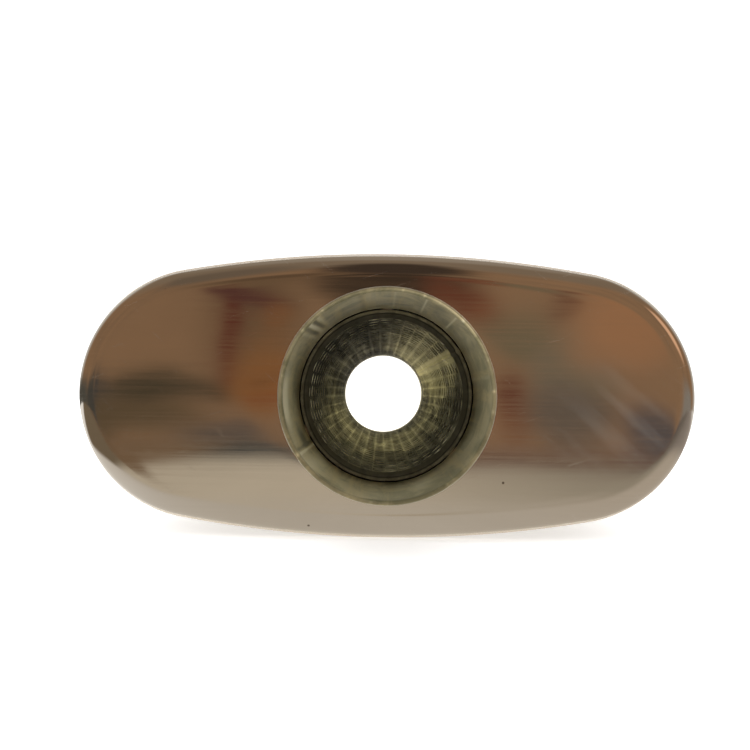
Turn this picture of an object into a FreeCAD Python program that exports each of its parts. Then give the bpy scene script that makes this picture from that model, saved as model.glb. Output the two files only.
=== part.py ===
"""Straight-through oval silencer of polished stainless sheet, in millimetres.

The gas path runs along Y. The inlet neck is at -Y, the outlet neck at +Y, and Z is up.
The origin is under the middle of the body, on the surface that the shell rests on.
Every piece is a closed solid of its own, written to parts/NAME.step.
"""

import FreeCAD
import Part
import math
import os

from FreeCAD import Vector

# Body
BODY_WIDTH = 232.0
BODY_HEIGHT = 107.0
BODY_LENGTH = 350.0
CROWN_RADIUS = 440.0
SHELL_SHEET = 1.2
SHELL_SEAM_WIDTH = 4.4
SHELL_SEAM_HEIGHT = 0.6

# End caps
CAP_SHEET = 1.5
CAP_EDGE_RADIUS = 8.0
CAP_EDGE_BAND_COUNT = 3
CAP_INNER_CHAMFER = 4.4
CAP_SKIRT = 14.0
CAP_FIT = 0.1
CAP_BEAD_REACH = 2.4

# Necks
NECK_BORE_RADIUS = 32.0
NECK_SHEET = 1.5
NECK_STICK_OUT = 50.0
NECK_REACH_IN = 2.5
NECK_FIT = 0.1
NECK_BEAD_LEG = 1.2
NECK_SEAM_ANGLE = 214.0
NECK_SEAM_WIDTH = 3.2
NECK_SEAM_HEIGHT = 0.5

# Perforated core, rolled with one flat to each lane of holes
CORE_STEP = 0.35
CORE_SHEET = 1.5
CORE_FLATS = 25
CORE_SEAM_ANGLE = 32.0
CORE_SEAM_GAP = 1.6
CORE_SEAM_PROUD = 0.3
HOLE_ACROSS = 6.5
HOLE_SIDES = 4
HOLE_PLAIN_END = 23.5
HOLE_RING_PITCH = 26.0
HOLE_LANE_STEP = 3
TACK_COUNT = 3
TACK_LENGTH = 5.0
TACK_LEG = 1.8

# Packing
WOOL_THICKNESS = 6.0
PACKING_FIT = 0.2
PAD_FIT = 0.4
PAD_TRIM = 18.0

AXIS_Z = BODY_HEIGHT / 2
CAP_FACE_Y = -BODY_LENGTH / 2
CAP_SHOULDER_Y = CAP_FACE_Y + CAP_EDGE_RADIUS
SHELL_END_Y = CAP_SHOULDER_Y + CAP_BEAD_REACH
CAP_INSET = SHELL_SHEET + CAP_FIT
MOUTH_Y = CAP_FACE_Y - NECK_STICK_OUT
CORE_END_Y = CAP_FACE_Y + NECK_REACH_IN
NECK_OUTER_RADIUS = NECK_BORE_RADIUS + NECK_SHEET
CORE_OUTER_RADIUS = NECK_BORE_RADIUS - CORE_STEP
CORE_FLAT_ANGLE = 360 / CORE_FLATS
CORE_OUTER_FLAT = CORE_OUTER_RADIUS * math.cos(math.radians(CORE_FLAT_ANGLE / 2))
CORE_INNER_FLAT = CORE_OUTER_FLAT - CORE_SHEET
WOOL_INNER_RADIUS = CORE_OUTER_RADIUS + CORE_SEAM_PROUD + PACKING_FIT
WOOL_OUTER_RADIUS = WOOL_INNER_RADIUS + WOOL_THICKNESS
WRAP_INNER_RADIUS = WOOL_OUTER_RADIUS + PACKING_FIT
WRAP_OUTER_RADIUS = AXIS_Z - CAP_INSET - CAP_SHEET - PACKING_FIT

ACROSS = Vector(1, 0, 0)
ALONG = Vector(0, 1, 0)
UP = Vector(0, 0, 1)
AXIS_POINT = Vector(0, 0, AXIS_Z)


def side_radius():
    """The radius of the body's round sides that leaves them tangent to its two flat crowns."""
    spare = CROWN_RADIUS * BODY_HEIGHT - BODY_WIDTH**2 / 4 - BODY_HEIGHT**2 / 4
    return spare / (2 * CROWN_RADIUS - BODY_WIDTH)


def oval_wire(inset, y):
    """The body's section, moved inwards by inset: two flat crowns and two round sides."""
    full_side = side_radius()
    centre_x = BODY_WIDTH / 2 - full_side
    side = full_side - inset
    join_x = centre_x + side * centre_x / (CROWN_RADIUS - full_side)
    join_z = side * (CROWN_RADIUS - AXIS_Z) / (CROWN_RADIUS - full_side)
    end_x = centre_x + side
    top_z = AXIS_Z - inset

    def at(x, z):
        return Vector(x, y, AXIS_Z + z)

    arcs = [
        Part.Arc(at(-join_x, join_z), at(0, top_z), at(join_x, join_z)),
        Part.Arc(at(join_x, join_z), at(end_x, 0), at(join_x, -join_z)),
        Part.Arc(at(join_x, -join_z), at(0, -top_z), at(-join_x, -join_z)),
        Part.Arc(at(-join_x, -join_z), at(-end_x, 0), at(-join_x, join_z)),
    ]
    return Part.Wire([arc.toShape() for arc in arcs])


def oval_block(inset, y_from, y_to):
    """A solid of the body's section between two stations."""
    return Part.Face(oval_wire(inset, y_from)).extrude(ALONG * (y_to - y_from))


def pressed_block(inset, face_y, end_y, radius, bands):
    """A block of the body's section, its edge at face_y rounded in conical bands on a quarter circle."""
    sections = []
    for step in range(bands + 1):
        turn = math.pi / 2 * step / bands
        pulled_in = inset + radius * (1 - math.sin(turn))
        sections.append(oval_wire(pulled_in, face_y + radius * (1 - math.cos(turn))))
    sections.append(oval_wire(inset, end_y))
    return Part.makeLoft(sections, True, True)


def rod(radius, y_from, y_to):
    """A round bar on the gas axis."""
    return Part.makeCylinder(radius, y_to - y_from, Vector(0, y_from, AXIS_Z), ALONG)


def pipe(outer, inner, y_from, y_to):
    """A round tube on the gas axis."""
    return rod(outer, y_from, y_to).cut(rod(inner, y_from, y_to))


def turned(shape, angle):
    """The shape turned about the gas axis, from +X towards +Z."""
    return shape.rotated(AXIS_POINT, ALONG, -angle)


def twin(shape, direction):
    """The piece's mirror image on the other side of the body's middle, along direction."""
    return shape.mirror(Vector(0, 0, 0), direction)


def long_bead(radius, width, height, y_from, y_to):
    """A low weld bead along Y on the outside of a round wall, at its +X side."""
    foot_x = math.sqrt(radius**2 - width**2 / 4)
    low = Vector(foot_x, y_from, AXIS_Z - width / 2)
    high = Vector(foot_x, y_from, AXIS_Z + width / 2)
    crest = Part.Arc(low, Vector(radius + height, y_from, AXIS_Z), high).toShape()
    seat = Part.Arc(high, Vector(radius, y_from, AXIS_Z), low).toShape()
    return Part.Face(Part.Wire([crest, seat])).extrude(ALONG * (y_to - y_from))


def flat_prism(flat_radius, y_from, y_to):
    """A bar on the gas axis with one flat for each lane of holes, the first one facing +X."""
    corner_radius = flat_radius / math.cos(math.radians(CORE_FLAT_ANGLE / 2))
    corners = []
    for number in range(CORE_FLATS + 1):
        angle = math.radians((number % CORE_FLATS + 0.5) * CORE_FLAT_ANGLE)
        x = corner_radius * math.cos(angle)
        corners.append(Vector(x, y_from, AXIS_Z + corner_radius * math.sin(angle)))
    return Part.Face(Part.makePolygon(corners)).extrude(ALONG * (y_to - y_from))


def body_shell():
    """The wrapper, rolled from one sheet."""
    outer = oval_block(0, SHELL_END_Y, -SHELL_END_Y)
    return outer.cut(oval_block(SHELL_SHEET, SHELL_END_Y, -SHELL_END_Y))


def shell_seam_weld():
    """The long weld on the narrow side of the wrapper."""
    side = side_radius()
    bead = long_bead(side, SHELL_SEAM_WIDTH, SHELL_SEAM_HEIGHT, SHELL_END_Y, -SHELL_END_Y)
    return bead.translated(Vector(BODY_WIDTH / 2 - side, 0, 0))


def end_cap():
    """A pressed cap: flat face, rounded edge, and a skirt that slides into the wrapper.

    The hidden inside of the edge is a single band.
    """
    skirt_end = CAP_SHOULDER_Y + CAP_SKIRT
    back_y = CAP_FACE_Y + CAP_SHEET
    outer = pressed_block(CAP_INSET, CAP_FACE_Y, skirt_end, CAP_EDGE_RADIUS, CAP_EDGE_BAND_COUNT)
    inner = pressed_block(CAP_INSET + CAP_SHEET, back_y, skirt_end, CAP_INNER_CHAMFER, 1)
    return outer.cut(inner).cut(rod(NECK_OUTER_RADIUS + NECK_FIT, CAP_FACE_Y, back_y))


def cap_weld():
    """The weld that fills the step from the cap's skirt out to the wrapper's edge."""
    slope = [oval_wire(CAP_INSET, CAP_SHOULDER_Y), oval_wire(0, SHELL_END_Y)]
    bead = Part.makeLoft(slope, True, True)
    return bead.cut(oval_block(CAP_INSET, CAP_SHOULDER_Y, SHELL_END_Y))


def neck():
    """A stub of tube through the cap. A pipe slides in up to the core, which starts at its inner end."""
    return pipe(NECK_OUTER_RADIUS, NECK_BORE_RADIUS, MOUTH_Y, CORE_END_Y)


def neck_weld():
    """The fillet weld round the neck, against the cap's face."""
    start_y = CAP_FACE_Y - NECK_BEAD_LEG
    foot_radius = NECK_OUTER_RADIUS + NECK_BEAD_LEG
    start = Vector(0, start_y, AXIS_Z)
    cone = Part.makeCone(NECK_OUTER_RADIUS, foot_radius, NECK_BEAD_LEG, start, ALONG)
    return cone.cut(rod(NECK_OUTER_RADIUS, start_y, CAP_FACE_Y))


def neck_seam_weld():
    """The neck tube's own long weld, outside, from its mouth to the weld at the cap."""
    bead_end = CAP_FACE_Y - NECK_BEAD_LEG
    bead = long_bead(NECK_OUTER_RADIUS, NECK_SEAM_WIDTH, NECK_SEAM_HEIGHT, MOUTH_Y, bead_end)
    return turned(bead, NECK_SEAM_ANGLE)


def hole_punch(y):
    """A radial prism through the core's wall at +X, a corner of its outline on the lane's middle line."""
    corners = []
    for number in range(HOLE_SIDES + 1):
        swing = 2 * math.pi * (number % HOLE_SIDES) / HOLE_SIDES
        across = HOLE_ACROSS / 2 * math.sin(swing)
        along = HOLE_ACROSS / 2 * math.cos(swing)
        corners.append(Vector(CORE_INNER_FLAT - CORE_SHEET, y + along, AXIS_Z + across))
    return Part.Face(Part.makePolygon(corners)).extrude(Vector(3 * CORE_SHEET, 0, 0))


def perforation():
    """The holes, in rings that each start a lane on from the last. The seam's flat stays plain."""
    lanes = CORE_FLATS - 1
    ring_count = int(-2 * (CORE_END_Y + HOLE_PLAIN_END) / HOLE_RING_PITCH) + 1
    first_y = -(ring_count - 1) * HOLE_RING_PITCH / 2
    punches = []
    for ring in range(ring_count):
        punch = hole_punch(first_y + ring * HOLE_RING_PITCH)
        for lane in range(ring % HOLE_LANE_STEP, lanes, HOLE_LANE_STEP):
            punches.append(turned(punch, CORE_SEAM_ANGLE + (lane + 1) * CORE_FLAT_ANGLE))
    return Part.makeCompound(punches)


def seam_bar(inner, outer):
    """A bar as long as the core and as wide as the gap between its rolled edges, from inner to outer."""
    corner = Vector(inner, CORE_END_Y, AXIS_Z - CORE_SEAM_GAP / 2)
    bar = Part.makeBox(outer - inner, -2 * CORE_END_Y, CORE_SEAM_GAP, corner)
    return turned(bar, CORE_SEAM_ANGLE)


def perforated_core():
    """The perforated tube that carries the gas, from the one neck's inner end to the other's."""
    outer = flat_prism(CORE_OUTER_FLAT, CORE_END_Y, -CORE_END_Y)
    tube = outer.cut(flat_prism(CORE_INNER_FLAT, CORE_END_Y, -CORE_END_Y))
    gap = seam_bar(CORE_INNER_FLAT - CORE_SHEET, CORE_OUTER_FLAT + CORE_SHEET)
    return turned(tube, CORE_SEAM_ANGLE).cut(gap).cut(perforation())


def core_seam_weld():
    """The weld that closes the core's long seam."""
    return seam_bar(CORE_INNER_FLAT - CORE_SEAM_PROUD, CORE_OUTER_FLAT + CORE_SEAM_PROUD)


def core_tacks():
    """Short fillet welds that hold the core's flats to the neck's inner end face."""
    foot_z = AXIS_Z - TACK_LENGTH / 2
    corner = Vector(CORE_OUTER_FLAT, CORE_END_Y, foot_z)
    on_neck = Vector(CORE_OUTER_FLAT + TACK_LEG, CORE_END_Y, foot_z)
    on_core = Vector(CORE_OUTER_FLAT, CORE_END_Y + TACK_LEG, foot_z)
    tack = Part.Face(Part.makePolygon([corner, on_neck, on_core, corner])).extrude(UP * TACK_LENGTH)
    tacks = []
    for number in range(TACK_COUNT):
        flat = int((number + 0.5) * CORE_FLATS / TACK_COUNT)
        tacks.append(turned(tack, CORE_SEAM_ANGLE + flat * CORE_FLAT_ANGLE))
    return Part.makeCompound(tacks)


def steel_wool_sleeve():
    """Steel wool wound round the core, between the tacks at its ends."""
    start_y = CORE_END_Y + TACK_LEG + PACKING_FIT
    return pipe(WOOL_OUTER_RADIUS, WOOL_INNER_RADIUS, start_y, -start_y)


def core_fibre_wrap():
    """Glass fibre mat wound over the wool until it fills the height inside the caps' skirts."""
    start_y = CAP_SHOULDER_Y + PACKING_FIT
    return pipe(WRAP_OUTER_RADIUS, WRAP_INNER_RADIUS, start_y, -start_y)


def side_fibre_pad():
    """The pad that fills the body's +X side, outside the wrap, with its thin edges trimmed off."""
    start_y = CAP_SHOULDER_Y + PACKING_FIT
    block = oval_block(CAP_INSET + CAP_SHEET + PAD_FIT, start_y, -start_y)
    block = block.cut(rod(WRAP_OUTER_RADIUS + PAD_FIT, start_y, -start_y))
    keep = Part.makeBox(BODY_WIDTH, BODY_LENGTH, BODY_HEIGHT, Vector(PAD_TRIM, CAP_FACE_Y, 0))
    return block.common(keep)


def pieces():
    """Every piece by the name of its node."""
    made = {
        "body_shell": body_shell(),
        "shell_seam_weld": shell_seam_weld(),
        "front_end_cap": end_cap(),
        "front_cap_weld": cap_weld(),
        "inlet_neck": neck(),
        "inlet_neck_weld": neck_weld(),
        "inlet_neck_seam": neck_seam_weld(),
        "inlet_core_tacks": core_tacks(),
        "perforated_core": perforated_core(),
        "core_seam_weld": core_seam_weld(),
        "steel_wool_sleeve": steel_wool_sleeve(),
        "core_fibre_wrap": core_fibre_wrap(),
        "right_fibre_pad": side_fibre_pad(),
    }
    made["rear_end_cap"] = twin(made["front_end_cap"], ALONG)
    made["rear_cap_weld"] = twin(made["front_cap_weld"], ALONG)
    made["outlet_neck"] = twin(made["inlet_neck"], ALONG)
    made["outlet_neck_weld"] = twin(made["inlet_neck_weld"], ALONG)
    made["outlet_neck_seam"] = twin(made["inlet_neck_seam"], ALONG)
    made["outlet_core_tacks"] = twin(made["inlet_core_tacks"], ALONG)
    made["left_fibre_pad"] = twin(made["right_fibre_pad"], ACROSS)
    return made


def main():
    os.makedirs("parts", exist_ok=True)
    for name, shape in pieces().items():
        shape.exportStep(f"parts/{name}.step")


main()
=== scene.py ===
import math

import bmesh
import bpy
import numpy as np
from bpy.props import FloatProperty, FloatVectorProperty, IntProperty, PointerProperty
from mathutils import Matrix, Vector


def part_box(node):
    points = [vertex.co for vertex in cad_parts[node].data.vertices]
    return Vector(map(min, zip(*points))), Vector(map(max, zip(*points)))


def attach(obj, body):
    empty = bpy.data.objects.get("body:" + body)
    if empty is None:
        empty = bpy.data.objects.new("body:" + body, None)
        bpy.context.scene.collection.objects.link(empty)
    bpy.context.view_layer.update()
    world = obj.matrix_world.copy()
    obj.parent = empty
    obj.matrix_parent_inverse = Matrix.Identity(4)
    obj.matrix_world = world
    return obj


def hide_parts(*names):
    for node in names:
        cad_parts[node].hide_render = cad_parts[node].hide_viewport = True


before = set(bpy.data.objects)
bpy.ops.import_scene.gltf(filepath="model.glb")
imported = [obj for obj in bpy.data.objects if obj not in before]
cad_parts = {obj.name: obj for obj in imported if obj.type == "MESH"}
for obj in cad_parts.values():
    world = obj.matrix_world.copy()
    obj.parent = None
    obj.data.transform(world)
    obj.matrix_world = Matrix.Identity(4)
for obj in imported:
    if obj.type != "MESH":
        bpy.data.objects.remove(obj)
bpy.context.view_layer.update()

bl_info = {
    "name": "Oval Muffler",
    "version": (1, 0, 0),
    "blender": (4, 5, 0),
    "location": "3D View > Sidebar > Muffler",
    "description": "Dresses the packed frame of a straight-through oval muffler in sheet, tubes and welds",
    "category": "Object",
}

MM = 0.001
TURN = 2 * math.pi
SHARP_FROM = math.radians(38)

SHELL_LOW, SHELL_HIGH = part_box("body_shell")
CAP_LOW, CAP_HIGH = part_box("front_end_cap")
NECK_LOW, NECK_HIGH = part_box("inlet_neck")
FILLET_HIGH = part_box("inlet_neck_weld")[1]
CORE_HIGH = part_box("perforated_core")[1]
WOOL_LOW, WOOL_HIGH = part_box("steel_wool_sleeve")
WRAP_LOW, WRAP_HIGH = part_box("core_fibre_wrap")
PAD_LOW, PAD_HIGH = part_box("right_fibre_pad")
AXIS_HEIGHT = (SHELL_LOW.z + SHELL_HIGH.z) / 2

# lengths and angles that the frame's boxes don't say: gaps, the straight step inside the cap's
# rounded edge, the packing's inner radii and where the tacks sit
NECK_FIT = 0.1 * MM
SKIRT_CORNER = 4 * MM
PAD_FIT = 0.4 * MM
WOOL_BORE = 32.15 * MM
WRAP_BORE = 38.35 * MM
TACKS_AT = np.radians([89.6, 204.8, 320.0])

# marks of the expanding tool in a neck: the angle in degrees and the strength
TOOL_MARKS = ((68, 0.07), (49, 0.08), (86, 0.02), (30, 0.025), (11, 0.03), (105, 0.03))

# nicks in a neck's mouth: the angle in degrees, the depth and the width; the depth also sets the strength
# of each nick's painted highlight
MOUTH_NICKS = (
    (82, 0.20, 0.012), (70, 0.26, 0.016), (61, 0.10, 0.01), (45, 0.22, 0.02), (20, 0.12, 0.01),
    (3, 0.28, 0.014), (352, 0.16, 0.02), (305, 0.2, 0.012), (262, 0.1, 0.02), (214, 0.22, 0.02),
    (170, 0.12, 0.014), (143, 0.24, 0.02), (128, 0.16, 0.012), (112, 0.1, 0.02),
)

# soft patches of the mirrored room: centre, half sizes, tilt about Y, colour and fullness
MIRRORED_PATCHES = (
    # low and dim on the left and on the right
    ((-0.66, 0.00, 0.020), (0.42, 0.80, 0.130), 0.0, (0.100, 0.092, 0.074), 1.7),
    ((-0.460, -0.58, 0.024), (0.240, 0.4, 0.100), 0.0, (0.078, 0.072, 0.060), 1.9),
    ((0.66, -0.40, 0.000), (0.42, 0.44, 0.150), 0.0, (0.31, 0.27, 0.225), 1.7),
    # pale overhead
    ((0.02, 0.20, 0.70), (0.42, 0.40, 0.35), 0.0, (0.36, 0.29, 0.22), 1.8),
    # dim corner of the ceiling
    ((-0.230, -0.45, 0.550), (0.170, 0.40, 0.300), 0.0, (0.195, 0.140, 0.095), 1.4),
    # tall and dark over the middle, with a dark foot
    ((0.012, -0.58, 0.48), (0.125, 0.38, 0.47), 0.0, (0.066, 0.044, 0.030), 2.0),
    ((0.012, -0.72, 0.182), (0.108, 0.30, 0.050), 0.0, (0.062, 0.040, 0.025), 2.0),
    # brown shade at the upper left, with a red upright, a red bar and a brown block in it
    ((-0.120, -0.68, 0.250), (0.120, 0.30, 0.110), 0.0, (0.155, 0.092, 0.050), 1.4),
    ((-0.130, -0.70, 0.125), (0.075, 0.3, 0.110), 0.0, (0.190, 0.115, 0.062), 1.3),
    ((-0.160, -0.71, 0.115), (0.014, 0.3, 0.080), 0.08, (0.135, 0.036, 0.022), 1.8),
    ((-0.142, -0.71, 0.154), (0.066, 0.3, 0.012), 0.30, (0.110, 0.040, 0.034), 1.8),
    ((-0.110, -0.71, 0.128), (0.026, 0.3, 0.022), 0.0, (0.260, 0.115, 0.048), 1.2),
    # long and dark on the left, brown under it
    ((-0.225, -0.69, 0.058), (0.105, 0.3, 0.020), -0.05, (0.078, 0.060, 0.036), 1.9),
    ((-0.300, -0.67, 0.052), (0.034, 0.3, 0.032), 0.0, (0.070, 0.066, 0.060), 1.6),
    ((-0.255, -0.69, 0.024), (0.095, 0.3, 0.030), 0.0, (0.135, 0.092, 0.050), 1.4),
    # orange glow left of the neck, with a dark bar and a red one across it
    ((-0.124, -0.72, 0.066), (0.050, 0.3, 0.048), 0.1, (0.320, 0.135, 0.045), 1.7),
    ((-0.122, -0.72, 0.072), (0.034, 0.3, 0.006), 0.0, (0.130, 0.060, 0.030), 1.4),
    ((-0.124, -0.72, 0.049), (0.034, 0.3, 0.005), 0.0, (0.230, 0.060, 0.028), 1.4),
    # red and orange streaks at the upper right of the neck
    ((0.082, -0.72, 0.152), (0.062, 0.3, 0.020), 0.45, (0.170, 0.056, 0.030), 1.5),
    ((0.106, -0.72, 0.142), (0.020, 0.3, 0.012), 0.3, (0.270, 0.080, 0.035), 1.3),
    ((0.186, -0.70, 0.149), (0.034, 0.3, 0.013), -0.45, (0.165, 0.075, 0.045), 1.4),
    # two grey-green slabs
    ((0.136, -0.71, 0.117), (0.060, 0.3, 0.036), 0.15, (0.190, 0.150, 0.088), 1.6),
    ((0.192, -0.71, 0.080), (0.060, 0.3, 0.072), 0.25, (0.215, 0.170, 0.112), 1.6),
    # orange upright with a dark red side, and dark blocks
    ((0.136, -0.72, 0.032), (0.026, 0.3, 0.046), 0.0, (0.240, 0.105, 0.052), 1.5),
    ((0.130, -0.72, 0.054), (0.018, 0.3, 0.030), 0.0, (0.150, 0.050, 0.030), 1.4),
    ((0.186, -0.71, 0.036), (0.056, 0.3, 0.038), 0.1, (0.160, 0.124, 0.094), 1.7),
    ((0.276, -0.69, 0.014), (0.056, 0.3, 0.032), 0.35, (0.118, 0.102, 0.100), 1.8),
    # warm light on the wall far right, and a bright patch beyond it
    ((0.240, -0.68, 0.128), (0.075, 0.3, 0.075), 0.0, (0.430, 0.215, 0.105), 1.2),
    ((0.585, -0.27, 0.330), (0.120, 0.135, 0.210), 0.0, (1.00, 0.58, 0.34), 2.0),
    # low brown ledge at the left
    ((-0.165, -0.70, 0.004), (0.070, 0.3, 0.016), 0.0, (0.135, 0.105, 0.085), 1.6),
)


def length_property(name, description, default):
    return FloatProperty(name=name, description=description, default=default, unit="LENGTH", precision=5)


def colour_property(name, description, default):
    return FloatVectorProperty(
        name=name, description=description, default=default, subtype="COLOR", size=3, min=0.0, max=1.0
    )


class MufflerSizes(bpy.types.PropertyGroup):
    """The sizes that shape the finished pieces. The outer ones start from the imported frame."""

    body_width: length_property("Body width", "Across the oval body", 2 * SHELL_HIGH.x)
    body_height: length_property("Body height", "Over the two flat crowns", SHELL_HIGH.z - SHELL_LOW.z)
    crown_radius: length_property("Crown radius", "Radius of the two flat crowns", 440 * MM)
    shell_end: length_property("Wrapper end", "From the middle to the wrapper's edge", SHELL_HIGH.y)
    shell_sheet: length_property("Wrapper sheet", "Thickness of the rolled wrapper", 1.2 * MM)
    seam_width: length_property("Seam width", "Width of the wrapper's long weld", 4.4 * MM)
    seam_height: length_property("Seam height", "Height of the wrapper's long weld", 0.6 * MM)
    cap_face: length_property("Cap face", "From the middle to the cap's flat face", -CAP_LOW.y)
    cap_inset: length_property("Cap inset", "Step in from the wrapper to the cap", CAP_LOW.z - SHELL_LOW.z)
    cap_end: length_property("Cap skirt end", "From the middle to the end of the cap's skirt", -CAP_HIGH.y)
    cap_edge: length_property("Cap edge radius", "Outer radius of the pressed edge", 8 * MM)
    cap_sheet: length_property("Cap sheet", "Thickness of the cap", 1.5 * MM)
    cap_wave: length_property("Cap wave", "How far the pressed face wanders from flat", 0.035 * MM)
    neck_mouth: length_property("Neck mouth", "From the middle to the neck's mouth", -NECK_LOW.y)
    neck_end: length_property("Neck inner end", "From the middle to the neck's inner end", -NECK_HIGH.y)
    neck_outer: length_property("Neck outer radius", "Radius outside the neck", NECK_HIGH.x)
    neck_sheet: length_property("Neck wall", "Thickness of the neck's wall", 1.5 * MM)
    neck_fillet: length_property("Neck fillet", "Leg of the neck's weld", FILLET_HIGH.x - NECK_HIGH.x)
    core_outer: length_property("Core radius", "Radius outside the perforated core", 31.65 * MM)
    core_sheet: length_property("Core sheet", "Thickness of the perforated sheet", 1.5 * MM)
    core_end: length_property("Core end", "From the middle to the core's end", CORE_HIGH.y)
    hole_radius: length_property("Hole radius", "Radius of the core's holes", 2.15 * MM)
    hole_pitch: length_property("Hole pitch", "From hole to hole along a lane", 12 * MM)
    hole_count: IntProperty(name="Holes in a lane", description="Holes in every second lane", default=26)
    lane_count: IntProperty(name="Lanes", description="Lanes of holes beside the seam strip", default=36)
    core_seam_angle: FloatProperty(
        name="Core seam angle", description="From +X towards +Z", default=math.radians(32), subtype="ANGLE"
    )
    neck_seam_angle: FloatProperty(
        name="Neck seam angle", description="From +X towards +Z", default=math.radians(214), subtype="ANGLE"
    )
    bead_ripple: length_property("Bead ripple", "Depth of the ripples in a weld", 0.07 * MM)
    wool_lump: length_property("Wool lump", "Depth of the lumps in the packing", 0.9 * MM)


class MufflerColours(bpy.types.PropertyGroup):
    """The colours of the finishes and of the studio."""

    sheet: colour_property("Polished sheet", "Bare polished stainless", (0.66, 0.63, 0.59))
    tube: colour_property("Neck tube", "Satin stainless outside the necks", (0.60, 0.58, 0.53))
    bore: colour_property("Neck bore", "Stained stainless inside the necks", (0.62, 0.55, 0.345))
    core: colour_property("Core tube", "Dull perforated sheet", (0.52, 0.47, 0.30))
    cut: colour_property("Cut edge", "Bare metal round the core's holes", (0.95, 0.88, 0.62))
    # also the colour of the painted shade inside the core
    soot_and_shade: colour_property("Soot", "Dark film inside the core", (0.050, 0.046, 0.030))
    weld: colour_property("Weld", "Bare bead", (0.66, 0.62, 0.56))
    straw: colour_property("Straw tint", "Heat tint beside a weld", (0.62, 0.46, 0.26))
    wool: colour_property("Steel wool", "Wool behind the holes", (0.10, 0.10, 0.09))
    fibre: colour_property("Glass fibre", "Needled mat", (0.86, 0.85, 0.79))
    floor: colour_property("Floor", "Pale studio floor", (0.93, 0.93, 0.93))
    room: colour_property("Room", "Warm wall that the cap mirrors", (0.31, 0.18, 0.097))
    ceiling: colour_property("Ceiling", "What is mirrored from above", (0.27, 0.195, 0.13))
    backdrop: colour_property("Backdrop", "What is mirrored from behind", (0.64, 0.60, 0.53))
    paper: colour_property("Paper", "The pale sheet in front, as mirrored", (0.67, 0.575, 0.435))


def make_mesh(name, points, *faces):
    """A mesh from points (n, 3) and index arrays of quads or triangles.

    Its signed volume, the sum over its triangles of a . (b x c) / 6, tells if it is inside out.
    """
    fans = [part[:, [0, k, k + 1]] for part in faces for k in range(1, part.shape[1] - 1)]
    a, b, c = (points[np.concatenate(fans)[:, k]] for k in range(3))
    if np.einsum("ij,ij->i", a, np.cross(b, c)).sum() < 0:
        faces = [part[:, ::-1] for part in faces]
    corners = np.concatenate([part.ravel() for part in faces]).astype(np.int32)
    sizes = np.concatenate([np.full(len(part), part.shape[1]) for part in faces])
    starts = np.concatenate(([0], sizes.cumsum()[:-1])).astype(np.int32)
    mesh = bpy.data.meshes.new(name)
    mesh.vertices.add(len(points))
    mesh.vertices.foreach_set("co", points.astype(np.float32).ravel())
    mesh.loops.add(len(corners))
    mesh.loops.foreach_set("vertex_index", corners)
    mesh.polygons.add(len(sizes))
    mesh.polygons.foreach_set("loop_start", starts)
    mesh.update(calc_edges=True)
    mesh.validate()
    mesh.polygons.foreach_set("use_smooth", np.ones(len(sizes), bool))
    mesh.set_sharp_from_angle(angle=SHARP_FROM)
    return mesh


def paint(mesh, name, values):
    """Keeps one number for each point of the mesh, for its material to read."""
    layer = mesh.attributes.new(name, "FLOAT", "POINT")
    layer.data.foreach_set("value", np.ascontiguousarray(values, np.float32).ravel())


def add_piece(name, mesh, finish, slot, *nodes):
    """The mesh as a piece of the muffler that stands for the named nodes of the frame."""
    piece = bpy.data.objects.new(name, mesh)
    bpy.context.scene.collection.objects.link(piece)
    mesh.materials.append(finish)
    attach(piece, "root")
    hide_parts(*nodes)
    return piece


def grid_quads(rows, columns, rows_close=False, columns_close=True):
    """Quads over a grid of points that may close on itself along its rows and its columns."""
    row = np.arange(rows if rows_close else rows - 1)[:, None]
    column = np.arange(columns if columns_close else columns - 1)[None, :]
    beside, after = (column + 1) % columns, (row + 1) % rows
    row, after = row * columns, after * columns
    corners = np.broadcast_arrays(row + column, row + beside, after + beside, after + column)
    return np.stack(corners, -1).reshape(-1, 4)


def ring_mesh(name, grid):
    """A closed skin over grid (rows, columns, 3): a profile carried round, closed both ways."""
    return make_mesh(name, grid.reshape(-1, 3), grid_quads(*grid.shape[:2], rows_close=True))


def rod_parts(grid, closed_start=True):
    """Points, sides and end fans over grid (rows, columns, 3): rings carried along a path."""
    rows, columns = grid.shape[:2]
    points = np.concatenate([grid.reshape(-1, 3), grid[:1].mean(1), grid[-1:].mean(1)])
    hub, last = rows * columns, (rows - 1) * columns
    column = np.arange(columns)
    beside = (column + 1) % columns
    start = np.stack([np.full(columns, hub), beside, column], -1)
    end = np.stack([np.full(columns, hub + 1), last + column, last + beside], -1)
    return points, grid_quads(rows, columns), np.concatenate([start, end]) if closed_start else end


def rod_mesh(name, grid, closed_start=True):
    """A skin over rings along a path, with a point closing its ends."""
    return make_mesh(name, *rod_parts(grid, closed_start))


def steps(start, stop, count):
    """Evenly spaced numbers, one to a row."""
    return np.linspace(start, stop, count)[:, None]


def whole_turn(count):
    """Evenly spaced angles once round, one to a column."""
    return np.linspace(0, TURN, count, endpoint=False)[None, :]


def smooth_step(value, low, high):
    """0 below low, 1 above high, and 3t^2 - 2t^3 between them."""
    t = np.clip((value - low) / (high - low), 0, 1)
    return t * t * (3 - 2 * t)


def bell(value, centre, width):
    """exp(-(distance / width)^2)."""
    return np.exp(-(((value - centre) / width) ** 2))


def angle_apart(angle, centre):
    """The distance round the circle, from -pi to pi."""
    return (angle - centre + math.pi) % TURN - math.pi


def turned_grid(radius, y, angle):
    """(x, y, z) round the gas axis: radius * cos, y, radius * sin."""
    x, z = radius * np.cos(angle), AXIS_HEIGHT + radius * np.sin(angle)
    return np.stack(np.broadcast_arrays(x, y, z), -1)


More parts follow.
